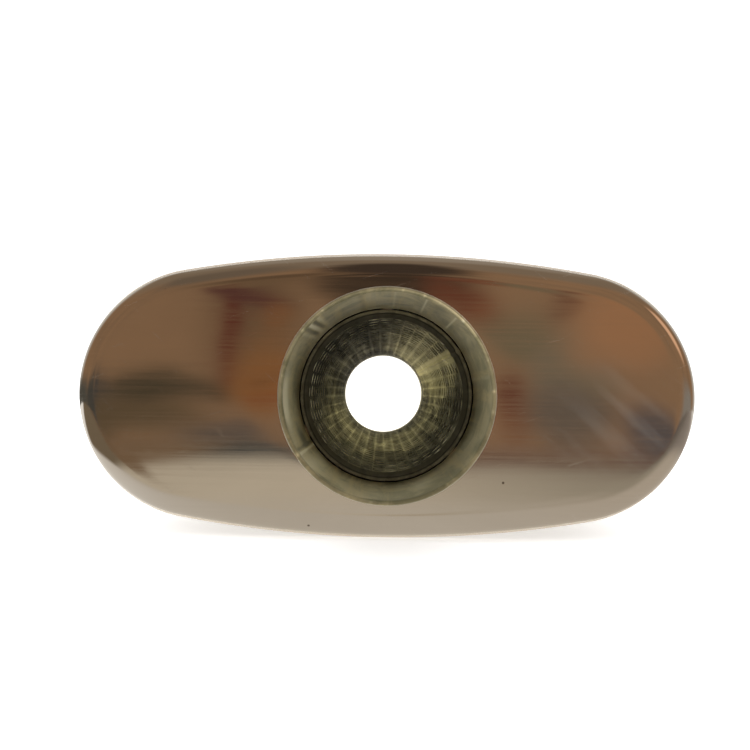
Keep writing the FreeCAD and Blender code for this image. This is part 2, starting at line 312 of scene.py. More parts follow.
class Oval:
    """The body's section as a loop: for each sample its arc's centre, radius and direction.

    Two crowns of one large radius and two sides of one small radius touch with a common
    tangent, so moving the loop inwards only takes the inset from every radius.
    """

    def __init__(self, sizes, count):
        half_width, half_height, crown = sizes.body_width / 2, sizes.body_height / 2, sizes.crown_radius
        side = (2 * crown * half_height - half_width**2 - half_height**2) / (2 * (crown - half_width))
        centre = half_width - side
        tangent = math.pi / 2 - math.asin(centre / (crown - side))
        half_side, whole_crown = side * tangent, crown * (math.pi - 2 * tangent)
        run = np.cumsum([0, half_side, whole_crown, 2 * half_side, whole_crown, half_side])
        knots = [0, tangent, math.pi - tangent, math.pi + tangent, TURN - tangent, TURN]
        self.run = np.linspace(0, run[-1], count, endpoint=False)
        self.length = run[-1]
        self.angle = np.interp(self.run, run, knots)
        self.across, self.up = np.cos(self.angle), np.sin(self.angle)
        on_crown = np.abs(self.up) > math.sin(tangent)
        self.radius = np.where(on_crown, crown, side)
        self.centre_x = np.where(on_crown, 0, np.sign(self.across) * centre)
        self.centre_z = np.where(on_crown, -np.sign(self.up) * (crown - half_height), 0)
        self.side_radius, self.side_centre = side, centre

    def ring(self, inset):
        """(x, z) of the loop moved in by inset: centre + (radius - inset) * direction."""
        reach = self.radius - inset
        return self.centre_x + reach * self.across, AXIS_HEIGHT + self.centre_z + reach * self.up

    def bands(self, insets, heights):
        """A loop to a row, each at its own inset and its own y."""
        x, z = self.ring(np.asarray(insets)[:, None])
        return np.stack(np.broadcast_arrays(x, np.asarray(heights)[:, None], z), -1)


def cap_wave(sizes, x, z, phase):
    """The pressed face's slow waves: a sum of five sines of x and z, each with its own tilt."""
    waves = (
        (0.21, 0.05, 0.6), (0.11, 0.13, 0.8), (0.16, -0.10, 1.9), (0.07, 0.045, 0.35), (0.05, -0.16, 1.1),
    )
    total = sum(
        np.sin(TURN * (x / across + (z - AXIS_HEIGHT) / up) + phase * (index + 1) + shift) / (index + 1)
        for index, (across, up, shift) in enumerate(waves)
    )
    return sizes.cap_wave * total


def cap_mesh(sizes, name, phase):
    """The pressed cap: the face is a straight blend from the neck's hole to the oval,
    t * oval + (1 - t) * circle; the edge is a quarter circle; the skirt runs straight."""
    oval = Oval(sizes, 480)
    edge_x, edge_z = oval.ring(sizes.cap_inset + sizes.cap_edge)
    shrink = (sizes.neck_outer + NECK_FIT) / np.hypot(edge_x, edge_z - AXIS_HEIGHT)
    hole_x, hole_z = shrink * edge_x, AXIS_HEIGHT + shrink * (edge_z - AXIS_HEIGHT)

    def face(share, y):
        x = share * edge_x + (1 - share) * hole_x
        z = share * edge_z + (1 - share) * hole_z
        hold = smooth_step(share, 0, 0.25) * (1 - smooth_step(share, 0.9, 1))
        return np.stack([x, y + hold * cap_wave(sizes, x, z, phase), z], -1)

    turn = np.linspace(0, math.pi / 2, 15)
    inner_turn = turn[::-2]
    shoulder = -sizes.cap_face + sizes.cap_edge
    inner_edge = sizes.cap_edge - sizes.cap_sheet
    outset, inset = sizes.cap_inset, sizes.cap_inset + sizes.cap_sheet
    skirt_start, skirt_end = shoulder + SKIRT_CORNER, -sizes.cap_end
    outer_y = shoulder - sizes.cap_edge * np.cos(turn)
    inner_y = shoulder - inner_edge * np.cos(inner_turn)
    return ring_mesh(name, np.concatenate([
        face(steps(0, 1, 45)[:-1], -sizes.cap_face),
        oval.bands(outset + sizes.cap_edge * (1 - np.sin(turn)), outer_y),
        oval.bands([outset, outset, inset, inset], [skirt_start, skirt_end, skirt_end, skirt_start]),
        oval.bands(inset + inner_edge * (1 - np.sin(inner_turn)), inner_y),
        face(steps(1, 0, 12)[1:], -sizes.cap_face + sizes.cap_sheet),
    ]))


def mirrored(mesh, name):
    """The mesh on the other side of the middle: every y changes sign and every face is turned over."""
    twin = mesh.copy()
    twin.name = name
    points = np.empty(len(twin.vertices) * 3, np.float32)
    twin.vertices.foreach_get("co", points)
    points[1::3] *= -1
    twin.vertices.foreach_set("co", points)
    twin.flip_normals()
    return twin


def wrapper_mesh(sizes, name):
    """The rolled wrapper: the oval at inset 0 outside and at the sheet's thickness inside.

    The rolling leaves the outside very slightly wavy along and around it.
    """
    oval = Oval(sizes, 360)
    end, sheet = sizes.shell_end, sizes.shell_sheet
    rounding = 0.25 * MM
    along = steps(-end + rounding, end - rounding, 70)
    around = TURN * oval.run / oval.length
    wave = np.sin(3 * around + 9 * along) + np.sin(5 * around - 23 * along + 1.3)
    wave = 0.03 * MM * (wave - 2) * (1 - smooth_step(np.abs(along), 0.6 * end, 0.97 * end))
    x, z = oval.ring(-wave)
    return ring_mesh(name, np.concatenate([
        np.stack(np.broadcast_arrays(x, along, z), -1),
        oval.bands([rounding, sheet], [end, end]),
        oval.bands([sheet] * 8, np.linspace(end, -end, 10)[1:-1]),
        oval.bands([sheet, rounding], [-end, -end]),
    ]))


def ripple(run, across, pitch):
    """The scalloped back of a weld: a parabola of t in from each ripple's front, the front
    bowed back towards the bead's middle. across is 0 at one edge and 1 at the other."""
    bow = 0.55 * 4 * across * (1 - across)
    t = (run / pitch + bow) % 1
    return -4 * (t - 0.5) ** 2


def rim_weld_mesh(sizes, name):
    """The weld between cap and wrapper: a chord from the cap's shoulder out to the wrapper's
    edge, bulged by h * 4t(1 - t) square to itself, and rippled along the oval."""
    oval = Oval(sizes, 1500)
    start = np.array([sizes.cap_inset, -sizes.cap_face + sizes.cap_edge])
    end = np.array([0.0, -sizes.shell_end])
    chord = end - start
    square = np.array([-chord[1], chord[0]]) / np.hypot(*chord)
    t = steps(0, 1, 9)
    waver = 0.02 * MM * np.sin(7 * oval.angle) + 0.02 * MM * np.sin(23 * oval.angle + 1)
    height = 0.26 * MM + waver + sizes.bead_ripple * 0.6 * ripple(oval.run, t, 2.0 * MM)
    bulge = 4 * t * (1 - t) * height
    seat = np.full((2, len(oval.run)), sizes.cap_inset + 0.2 * MM)
    inset = np.concatenate([np.maximum(start[0] + t * chord[0] + bulge * square[0], 0), seat])
    y = np.concatenate([start[1] + t * chord[1] + bulge * square[1], 0 * seat + [[end[1]], [start[1]]]])
    x, z = oval.ring(inset)
    return ring_mesh(name, np.stack([x, y, z], -1))


def neck_mesh(sizes, name):
    """A neck: its wall's profile turned about the gas axis, with the marks of its making.

    Inwards, the bore's radius is moved by the sum of a scarfed seam, the lines that the
    expanding tool left, crinkles that fade along the tube, and slow waves round it.
    """
    angle = whole_turn(720)
    outer, bore = sizes.neck_outer, sizes.neck_outer - sizes.neck_sheet
    mouth, end = -sizes.neck_mouth, -sizes.neck_end
    round_out, round_in, lead = 0.5 * MM, sizes.neck_sheet - 0.5 * MM, 2.0 * MM
    inner_y = np.concatenate([steps(mouth + lead, mouth + 8 * MM, 14), steps(mouth + 9 * MM, end, 40)])
    depth = (inner_y - mouth) / (end - mouth)

    def line(at, width):
        return bell(angle_apart(angle, math.radians(at)), 0, width)

    def patch(at, width, deep, reach):
        return line(at, width) * bell(depth, deep, reach)

    seam = angle_apart(angle, sizes.neck_seam_angle)
    ridge = 0.10 * bell(seam, 0, 0.022) - 0.07 * bell(seam, 0.05, 0.025) - 0.05 * bell(seam, -0.05, 0.03)
    tool = sum(strength * line(at, 0.012) for at, strength in TOOL_MARKS)
    folds = angle_apart(angle, math.radians(137))
    folded = bell(folds, 0, 0.10) * (1 - smooth_step(depth, 0.45, 0.95))
    crinkle = 0.10 * np.sin(58 * folds + 4 * depth) * folded
    crinkle = crinkle + 0.03 * np.sin(41 * folds) * bell(folds, -0.25, 0.2) * (1 - depth)
    slow = 0.05 * np.sin(3 * angle + 2 * depth) + 0.03 * np.sin(8 * angle + 5 * depth + 1)
    slow = slow + 0.012 * np.sin(23 * angle + 9 * depth)
    fade = smooth_step(inner_y, mouth + lead, mouth + 5 * MM)
    fade = fade * (1 - smooth_step(inner_y, end - 2 * MM, end))
    inner_r = bore + MM * 0.6 * fade * (slow - ridge + tool + crinkle)
    # marks_and_light: lighter and darker along the seam, the tool lines, the crinkles and in stained
    # patches, and painted light in its last term
    marks_and_light = (
        0.9 * bell(seam, 0.012, 0.014) - 0.5 * bell(seam, -0.035, 0.02) + 0.35 * bell(seam, 0.16, 0.12)
        + 0.55 * line(68, 0.010) + 0.65 * line(49, 0.011) - 0.35 * line(59, 0.09) * bell(depth, 0.25, 0.3)
        + 0.9 * np.maximum(np.sin(58 * folds + 4 * depth), -0.8) * folded
        + 1.0 * patch(184, 0.26, 0.16, 0.15) - 0.9 * patch(208, 0.14, 0.60, 0.20)
        - 0.4 * patch(176, 0.3, 0.8, 0.2) + 0.4 * patch(292, 0.12, 0.5, 0.2)
        - 0.6 * patch(233, 0.10, 0.06, 0.04) - 0.35 * patch(355, 0.35, 0.6, 0.2)
        + 0.25 * line(86, 0.012) - 0.25 * line(105, 0.03) + 0.22 * line(11, 0.02) - 0.2 * line(30, 0.05)
        - 0.25 * patch(318, 0.3, 0.3, 0.3) + 0.2 * patch(100, 0.2, 0.3, 0.3)
        + 0.2 * patch(268, 0.3, 0.25, 0.2)
        # painted light: the upper half brighter towards the inner end
        + 0.70 * np.maximum(np.sin(angle), 0) * smooth_step(depth, 0.6, 1.0)
    )

    turn = steps(0, math.pi / 2, 9)
    nicks = sum(deep * line(at, wide) for at, deep, wide in MOUTH_NICKS)
    uneven = MM * (0.10 + 0.05 * np.sin(2 * angle + 0.4) + 0.04 * np.sin(5 * angle) + 0.6 * nicks)
    out_lip_r, in_lip_r = outer - round_out * (1 - np.cos(turn)), bore + round_in * (1 - np.sin(turn))
    out_lip_y = mouth + round_out * (1 - np.sin(turn)) + uneven
    in_lip_y = mouth + lead * (1 - np.cos(turn)) + uneven * np.cos(turn)
    outer_y = steps(end, mouth + 1.2 * MM, 24)
    outer_r = outer - 0.02 * MM * (1 - np.cos(4 * angle + 40 * outer_y))
    # painted highlights on the lip: bright on every nick and in a broad band at 45 degrees
    lip_highlights = 3.0 * nicks + 0.8 * line(45, 0.40)
    # each block of rows: radius, y, what marks_and_light says, what inside says
    blocks = (
        (outer_r, outer_y, 0, 0),
        (out_lip_r, out_lip_y, lip_highlights * np.cos(turn) - 0.5 * np.sin(turn), np.sin(turn) ** 2),
        (in_lip_r[1:], in_lip_y[1:], (0.6 * lip_highlights - 0.5) * np.cos(turn[1:]), 1),
        (inner_r[1:], inner_y[1:], marks_and_light[1:], 1),
    )
    grids = [turned_grid(radius, y, angle) for radius, y, _, _ in blocks]
    mesh = ring_mesh(name, np.concatenate(grids))
    for layer, pick in (("marks_and_light", 2), ("inside", 3)):
        values = [np.broadcast_to(block[pick], grid.shape[:2]) for block, grid in zip(blocks, grids)]
        paint(mesh, layer, np.concatenate(values))
    return mesh


def fillet_mesh(sizes, name):
    """The fillet round a neck: a slightly hollow chord from the tube to the cap, rippled round it."""
    angle = whole_turn(840)
    leg, tube, face = sizes.neck_fillet, sizes.neck_outer, -sizes.cap_face
    t = steps(0, 1, 9)
    swell = 0.10 * MM * (1 + 0.4 * np.sin(5 * angle))
    swell = swell + sizes.bead_ripple * (1 + ripple(angle * tube, t, 1.5 * MM))
    bulge = 4 * t * (1 - t) * swell / math.sqrt(2)
    seat = np.full((2, angle.size), tube - 0.3 * MM)
    radius = np.concatenate([tube + leg * t + bulge, seat])
    y = np.concatenate([face - leg * (1 - t) - bulge, 0 * seat + [[face + 0.2 * MM], [face - leg]]])
    return ring_mesh(name, turned_grid(radius, y, angle))


def long_bead_mesh(name, radius, centre_x, angle, width, height, y_from, y_to, deep, pitch):
    """A weld along Y on a round wall: across it the height is h * (1 - u^2), u from -1 to 1,
    tapered at both ends and rippled along; its back lies a little inside the wall."""
    y = steps(y_from, y_to, max(int((y_to - y_from) / (pitch / 6)), 12))
    u = np.linspace(-1, 1, 11)[None, :]
    taper = 2 * width
    ends = smooth_step(y, y_from, y_from + taper) * smooth_step(-y, -y_to, -y_to + taper) * 0.75 + 0.25
    crown = (1 - u**2) * (height - deep * 0.5 + 0.5 * deep * ripple(y, (u + 1) / 2, pitch))
    top = radius + np.maximum(crown * ends, 0)
    back = np.full((len(y), 5), radius - 0.15 * MM)
    swing = np.concatenate([u * width / 2, np.linspace(1, -1, 5)[None, :] * width / 2.2], 1) / radius
    grid = turned_grid(np.concatenate([top, back], 1), y, angle + swing)
    grid[..., 0] += centre_x
    return rod_mesh(name, grid)


def core_wall(sizes, y):
    """The core's inner and outer radius along y: both edges of its ends are eased."""
    from_end = sizes.core_end - np.abs(y)
    flare = 0.35 * MM * (1 - smooth_step(from_end, 0, 1.6 * MM))
    flare = flare + 0.2 * MM * (1 - smooth_step(from_end, 0, 0.3 * MM))
    round_off = 0.2 * MM * (1 - smooth_step(from_end, 0, 0.4 * MM))
    return sizes.core_outer - sizes.core_sheet + flare, sizes.core_outer - round_off


def core_mesh(sizes, name):
    """The perforated core, as a patchwork on a cylinder that is then welded together.

    Every hole sits in a cell of its own: 12 points on the cell's edge and 12 on the hole, at
    steps of 30 degrees, joined by quads on the inner face, down a small chamfer, through the
    wall and over the outer face. A cell is half a pitch off its neighbours in the next lane,
    and plain quads a quarter pitch long fill the seam's strip and both ends.
    """
    half_lane = math.pi / (sizes.lane_count + 1)
    quarter = sizes.hole_pitch / 4
    middle = sizes.core_outer - sizes.core_sheet / 2
    edge = np.array([[1, 0], [1, 1], [1, 2], [0, 2], [-1, 2], [-1, 1]])
    edge = np.concatenate([edge, -edge]) * np.array([half_lane, quarter])
    spin = np.radians(30 * np.arange(12))
    circle = np.stack([np.cos(spin) / middle, np.sin(spin)], -1) * sizes.hole_radius
    chamfer = 0.25 * MM
    wide = circle * (1 + chamfer / sizes.hole_radius)
    full = sizes.hole_count
    first = -(full - 1) / 2 * sizes.hole_pitch
    lanes, rows = np.meshgrid(np.arange(sizes.lane_count), np.arange(full), indexing="ij")
    keep = (lanes % 2 == 0) | (rows < full - 1)
    lanes, rows = lanes[keep], rows[keep]
    cell = np.stack([
        sizes.core_seam_angle + (lanes + 1) * 2 * half_lane,
        first + (rows + (lanes % 2) / 2) * sizes.hole_pitch,
    ], -1)

    def rings(flat, depth):
        """(cells, 12, 3): the ring at that depth, 0 on the inner face and 1 on the outer."""
        where = cell[:, None, :] + flat[None, :, :]
        inner, outer = core_wall(sizes, where[..., 1])
        return turned_grid(inner + depth * (outer - inner), where[..., 1], where[..., 0])

    share = chamfer / sizes.core_sheet
    layers = ((edge, 0), (wide, 0), (circle, share), (circle, 1), (edge, 1))
    blocks = np.stack([rings(*layer) for layer in layers], 1).reshape(-1, 3)
    index = np.arange(len(cell))[:, None, None] * 60 + np.arange(4)[None, :, None] * 12
    spot = np.arange(12)[None, None, :]
    beside = (spot + 1) % 12
    holes = [index + spot, index + beside, index + 12 + beside, index + 12 + spot]
    holes = np.stack(holes, -1).reshape(-1, 4)
    by_hole = np.tile(np.repeat([0.0, 1.0, 1.0, 1.0, 0.0], 12), len(cell))
    parts, quads, used = [blocks], [holes], len(blocks)

    def lay(angles, stations, end=False, side=False):
        """Adds plain wall over a run of angles and stations, and closes it at the first of either."""
        nonlocal used
        y, a = np.meshgrid(stations, angles, indexing="ij")
        r, c = y.shape
        face = grid_quads(r, c, columns_close=False)
        made = [face, face + r * c]
        if end:
            start = np.arange(c - 1)
            made.append(np.stack([start, start + 1, start + 1 + r * c, start + r * c], -1))
        if side:
            start = np.arange(r - 1) * c
            made.append(np.stack([start, start + c, start + c + r * c, start + r * c], -1))
        parts.extend(turned_grid(radius, y, a).reshape(-1, 3) for radius in core_wall(sizes, y))
        quads.extend(part + used for part in made)
        used += 2 * r * c

    seam, gap = sizes.core_seam_angle, 0.8 * MM / middle
    from_end = np.array([0, 0.12, 0.3, 0.7, 1.4, 2.2, 3.2, 6, 11]) * MM
    plain_end = np.append(from_end - sizes.core_end, first - 2 * quarter)
    whole_run = np.arange(round(-2 * first / quarter) + 5) * quarter + first - 2 * quarter
    lane_steps = seam + half_lane + np.arange(2 * sizes.lane_count + 1) * half_lane
    for mirror in (1, -1):
        lay(lane_steps, mirror * plain_end, end=True)
        for side in (1, -1):
            lay(seam + side * np.array([gap, half_lane]), mirror * plain_end, end=True, side=True)
    for side in (1, -1):
        lay(seam + side * np.array([gap, half_lane]), whole_run, side=True)
    for lane in range(1, sizes.lane_count, 2):
        at = seam + (lane + 1) * 2 * half_lane + np.array([-1, 0, 1]) * half_lane
        for mirror in (1, -1):
            lay(at, mirror * (first + np.array([-2, -1, 0]) * quarter))
    near = np.concatenate([by_hole, np.zeros(used - len(by_hole))])
    quads = np.concatenate(quads)
    cut = np.zeros(len(quads), bool)
    cut[:len(holes)] = np.isin(np.arange(len(holes)) // 12 % 4, (1, 2))
    return welded_mesh(name, np.concatenate(parts), quads, near, cut)


def welded_mesh(name, points, quads, near, cut):
    """The mesh with points that coincide to a micrometre made one, and all faces turned outwards."""
    keys = np.round(points * 1e6).astype(np.int64)
    _, first, back = np.unique(keys, axis=0, return_index=True, return_inverse=True)
    mesh = make_mesh(name, points[first], back.reshape(-1)[quads])
    if len(mesh.polygons) != len(quads):
        raise ValueError(f"{name}: {len(quads) - len(mesh.polygons)} faces fell together")
    work = bmesh.new()
    work.from_mesh(mesh)
    bmesh.ops.recalc_face_normals(work, faces=work.faces)
    work.to_mesh(mesh)
    work.free()
    mesh.set_sharp_from_angle(angle=SHARP_FROM)
    paint(mesh, "near_hole", near[first])
    mesh.polygons.foreach_set("material_index", cut.astype(np.int32))
    return mesh


def core_seam_mesh(sizes, name):
    """The bead in the core's seam: across it both faces stand h * (1 - u^2) proud, rippled along."""
    y = steps(-sizes.core_end + 0.3 * MM, sizes.core_end - 0.3 * MM, 900)
    u = np.linspace(-1, 1, 8)[None, :]
    inner, outer = core_wall(sizes, y)
    rippled = 0.22 * MM + 0.5 * sizes.bead_ripple * ripple(y, (u + 1) / 2, 2.2 * MM)
    proud = (1 - u**2) * rippled + 0.02 * MM
    reach = np.concatenate([inner - proud, (outer + proud)[:, ::-1]], 1)
    half = 0.95 * MM / sizes.core_outer * (1 + 0.12 * np.sin(900 * y) * np.cos(211 * y))
    swing = sizes.core_seam_angle + np.concatenate([u, u[:, ::-1]], 1) * half
    return rod_mesh(name, turned_grid(reach, y, swing))


def tacks_mesh(sizes, name):
    """Three blobs between the core's end and the neck's, each an ellipsoid with a wavy skin."""
    level = steps(0.12, math.pi - 0.12, 12)
    angle = whole_turn(20)
    skin = 1 + 0.06 * np.sin(3 * angle + 2 * level) + 0.05 * np.sin(5 * level + angle)
    reach = sizes.core_outer + 0.55 * MM + 0.95 * MM * np.sin(level) * np.cos(angle) * skin
    y = -sizes.core_end + 0.55 * MM + 1.05 * MM * np.sin(level) * np.sin(angle) * skin
    blobs = []
    for number, at in enumerate(TACKS_AT):
        points, *faces = rod_parts(turned_grid(reach, y, at + 2.6 * MM * np.cos(level) / sizes.core_outer))
        blobs.append([points] + [part + number * len(points) for part in faces])
    return make_mesh(name, *map(np.concatenate, zip(*blobs)))


def lumps(first, second, seed):
    """Soft lumps from 0 to 1: a sum of eight sines, each with its own seeded tilt and shift."""
    draw = np.random.default_rng(seed)
    total = 0
    for step in range(8):
        tilt_first, tilt_second = draw.integers(-4 - step, 5 + step), draw.integers(-4 - step, 5 + step)
        total = total + np.sin(tilt_first * first + tilt_second * second + draw.uniform(0, TURN))
    return 0.5 + 0.5 * np.tanh(total / 2.5)


def wool_mesh(sizes, name):
    """The wool sleeve: its profile turned about the gas axis, with lumps taken off both faces."""
    angle = whole_turn(180)
    inner_y = steps(WOOL_LOW.y, WOOL_HIGH.y, 150)
    outer_y = steps(WOOL_HIGH.y, WOOL_LOW.y, 40)
    inner = WOOL_BORE + sizes.wool_lump * lumps(7 * angle, 260 * inner_y, 5)
    outer = WOOL_HIGH.x - sizes.wool_lump * lumps(5 * angle, 120 * outer_y, 6)
    faces = [turned_grid(inner, inner_y, angle), turned_grid(outer, outer_y, angle)]
    return ring_mesh(name, np.concatenate(faces))


def mat_mesh(name, outer_line, inner_line, y):
    """A closed mat between two lines of points (rows, n, 2), the same n points in each, run along y."""
    loop = np.concatenate([outer_line, inner_line[:, ::-1]], 1)
    rows, columns = loop.shape[:2]
    points = np.stack(np.broadcast_arrays(loop[..., 0], y, loop[..., 1]), -1)
    half = np.arange(columns // 2 - 1)
    end = np.stack([half, half + 1, columns - 2 - half, columns - 1 - half], -1)
    sides = grid_quads(rows, columns)
    return make_mesh(name, points.reshape(-1, 3), sides, end[:, ::-1], end + (rows - 1) * columns)


def wrap_mesh(sizes, name):
    """The wound mat: two turns of a spiral, radius = inner + thickness * angle / turn, lumpy."""
    y = steps(WRAP_LOW.y, WRAP_HIGH.y, 70)
    angle = np.linspace(0, 2 * TURN, 240)[None, :]
    thick = (WRAP_HIGH.x - WRAP_BORE) / 3
    base = WRAP_BORE + thick * angle / TURN
    lump = sizes.wool_lump * lumps(3 * angle, 110 * y, 8)

    def line(reach):
        return np.stack([reach * np.cos(angle), AXIS_HEIGHT + reach * np.sin(angle)], -1)

    return mat_mesh(name, line(base + 0.97 * thick - 0.7 * lump), line(base + 0.3 * lump), y)


def pad_mesh(sizes, name, side):
    """A side pad: between the caps' inside and the wrap, from one trimmed edge round to the other."""
    y = steps(PAD_LOW.y, PAD_HIGH.y, 70)
    oval = Oval(sizes, 1200)
    x, z = oval.ring(sizes.cap_inset + sizes.cap_sheet + PAD_FIT)
    order = np.argsort(angle_apart(oval.angle, 0.0))
    kept = order[x[order] >= PAD_LOW.x]
    share = np.linspace(0, 1, 120)
    x, z = (np.interp(share, np.linspace(0, 1, len(kept)), line[kept]) for line in (x, z))
    reach = WRAP_HIGH.x + PAD_FIT
    limit = math.acos(PAD_LOW.x / reach)
    swing = np.linspace(-limit, limit, len(share))
    inner_x, inner_z = reach * np.cos(swing), AXIS_HEIGHT + reach * np.sin(swing)
    room = np.hypot(x - inner_x, z - inner_z)
    lump = sizes.wool_lump * lumps(9 * share[None, :], 90 * y, 11) * smooth_step(room, 2 * MM, 12 * MM)
    pull = lump / np.maximum(room, 1e-6) * 0.5
    outer_line = np.stack([side * (x + pull * (inner_x - x)), z + pull * (inner_z - z)], -1)
    inner_line = np.stack([side * (inner_x - pull * (inner_x - x)), inner_z - pull * (inner_z - z)], -1)
    return mat_mesh(name, outer_line, inner_line, y)


def toned(colour, share):
    """The colour times one share, or times three, and never above 1."""
    return tuple(np.minimum(np.multiply(colour, share), 1.0))


class Value:
    """What a node gives. It is added, multiplied, remapped and blended as a number is."""

    def __init__(self, finish, socket):
        self.finish, self.socket = finish, socket

    def maths(self, operation, first, second=0.0):
        return self.finish.made("ShaderNodeMath", "Value", {0: first, 1: second}, operation=operation)

    def __add__(self, other):
        return self.maths("ADD", self, other)

    def __sub__(self, other):
        return self.maths("SUBTRACT", self, other)

    def __rsub__(self, other):
        return self.maths("SUBTRACT", other, self)

    def __mul__(self, other):
        return self.maths("MULTIPLY", self, other)

    def __abs__(self):
        return self.maths("ABSOLUTE", self)

    def maximum(self, other):
        return self.maths("MAXIMUM", self, other)

    def remap(self, low, high, to_low=0.0, to_high=1.0, way="LINEAR"):
        """Goes from to_low to to_high while the value goes from low to high."""
        ends = {"Value": self, "From Min": low, "From Max": high, "To Min": to_low, "To Max": to_high}
        return self.finish.made("ShaderNodeMapRange", "Result", ends, interpolation_type=way)

    def ease(self, low, high, to_low=0.0, to_high=1.0):
        """The same as remap, with a soft start and a soft stop."""
        return self.remap(low, high, to_low, to_high, "SMOOTHSTEP")

    def blend(self, first, second):
        """The first colour where the value is 0, and the second where it is 1."""
        return self.finish.made("ShaderNodeMix", 2, {0: self, 6: first, 7: second}, data_type="RGBA")


class Finish:
    """A material being made, with short calls for the nodes that these finishes share."""

    def __init__(self, name):
        self.material = bpy.data.materials.new(name)
        self.material.use_nodes = True
        self.tree = self.material.node_tree
        self.shader = self.tree.nodes["Principled BSDF"]
        self.place = self.made("ShaderNodeTexCoord", "Object", {})

    def made(self, kind, output, inputs, **settings):
        """The output of a new node. inputs holds a value for each socket's name or number."""
        node = self.tree.nodes.new(kind)
        for key, value in settings.items():
            setattr(node, key, value)
        for key, value in inputs.items():
            self.feed(node.inputs[key], value)
        return Value(self, node.outputs[output])

    def feed(self, socket, value):
        if isinstance(value, Value):
            self.tree.links.new(value.socket, socket)
        elif socket.type == "RGBA" and len(value) == 3:
            socket.default_value = (*value, 1)
        else:
            socket.default_value = value

    def set(self, **values):
        """Fills the shader's sockets, and gives the finished material."""
        for key, value in values.items():
            self.feed(self.shader.inputs[key.replace("_", " ").title()], value)
        return self.material

    def glow(self, colour):
        """Makes the material a plain glow of that colour that is never picked as a lamp."""
        light = self.made("ShaderNodeEmission", "Emission", {"Color": colour, "Strength": 1.0})
        self.feed(self.tree.nodes["Material Output"].inputs["Surface"], light)
        self.tree.nodes.remove(self.shader)
        self.material.cycles.emission_sampling = "NONE"
        return self.material

    def mapped(self, scale, centre=(0, 0, 0), tilt=0.0, kind="POINT", source=None):
        """Coordinates times scale. The kind TEXTURE centres, tilts about Y and divides instead."""
        inputs = {"Vector": source or self.place, "Scale": scale}
        inputs |= {"Location": centre, "Rotation": (0, tilt, 0)}
        return self.made("ShaderNodeMapping", "Vector", inputs, vector_type=kind)

    def lines(self, lengths, tilt=0.0):
        """Coordinates for a pattern of these lengths, tilted about Y."""
        return self.mapped(lengths, tilt=tilt, kind="TEXTURE")

    def noise(self, where, detail=3.0, roughness=0.55, distortion=0.0, output="Fac"):
        """Noise on given coordinates, or on the object's own times one scale or three."""
        scale = 1.0
        if isinstance(where, float):
            scale, where = where, self.place
        elif isinstance(where, tuple):
            where = self.mapped(where)
        inputs = {"Vector": where, "Scale": scale, "Detail": detail}
        inputs |= {"Roughness": roughness, "Distortion": distortion}
        return self.made("ShaderNodeTexNoise", output, inputs)

    def vectors(self, operation, *terms):
        return self.made("ShaderNodeVectorMath", "Vector", dict(enumerate(terms)), operation=operation)

    def specks(self, scale):
        """The distance to the nearest of many scattered points."""
        return self.made("ShaderNodeTexVoronoi", "Distance", {"Vector": self.place, "Scale": scale})

    def painted(self, name):
        """The number that paint() kept in the mesh."""
        return self.made("ShaderNodeAttribute", "Fac", {}, attribute_name=name)

    def spot(self, centre, half_sizes, tilt=0.0, source=None):
        """1 in the middle of a soft-edged ellipsoid and 0 outside it."""
        inside = self.mapped(half_sizes, centre, tilt, "TEXTURE", source)
        return self.made("ShaderNodeTexGradient", "Fac", {"Vector": inside}, gradient_type="SPHERICAL")

    def axes(self):
        """The object's own x, y and z."""
        return [self.made("ShaderNodeSeparateXYZ", axis, {"Vector": self.place}) for axis in "XYZ"]

    def bump(self, height, distance, strength):
        inputs = {"Height": height, "Distance": distance, "Strength": strength}
        return self.made("ShaderNodeBump", "Normal", inputs)


def polished_sheet(colours, name, hair_lengths):
    """Polished stainless: fine hairlines, faint smears, stray scratches, a rubbed spot and a
    few dark pits."""
    finish = Finish(name)
    dim = toned(colours.sheet, 0.90)
    hair = finish.noise(finish.lines(hair_lengths), 4.0, 0.6)
    smear = finish.noise((9, 9, 22), 4.0, 0.6, 0.6)
    rising = finish.noise(finish.lines((0.013, 0.03, 0.0005), 0.72), 1.0, 0.5).remap(0.735, 0.785)
    falling = finish.noise(finish.lines((0.017, 0.04, 0.0006), -0.33), 1.0, 0.5).remap(0.735, 0.785)
    scratch = falling.maximum(rising)
    rubs = finish.noise(finish.lines((0.035, 0.05, 0.0035), 0.72), 2.0, 0.5).remap(0.42, 0.72)
    rubs = rubs * finish.spot((0.084, -0.175, 0.046), (0.030, 0.06, 0.024))
    pits = finish.specks(85.0).remap(0.028, 0.050, 1.0, 0.0) * finish.noise(31.0, 1.0).remap(0.54, 0.58)
    tint = smear.remap(0.35, 0.7).blend(dim, colours.sheet)
    tint = hair.remap(0.35, 0.65, 0.5, 0.0).blend(tint, dim)
    tint = (pits * 0.8).blend(tint, (0.10, 0.07, 0.05))
    rough = hair.remap(0.3, 0.7, 0.06, 0.12) + smear.remap(0.45, 0.8, 0.0, 0.05) + scratch * 0.05
    height = hair * 0.3 + scratch * -0.3 - pits
    bare = 1.0 - (scratch * 0.025).maximum(rubs * 0.05)
    relief = finish.bump(height, 0.008 * MM, 0.6)
    return finish.set(base_color=tint, metallic=bare, roughness=rough, normal=relief)


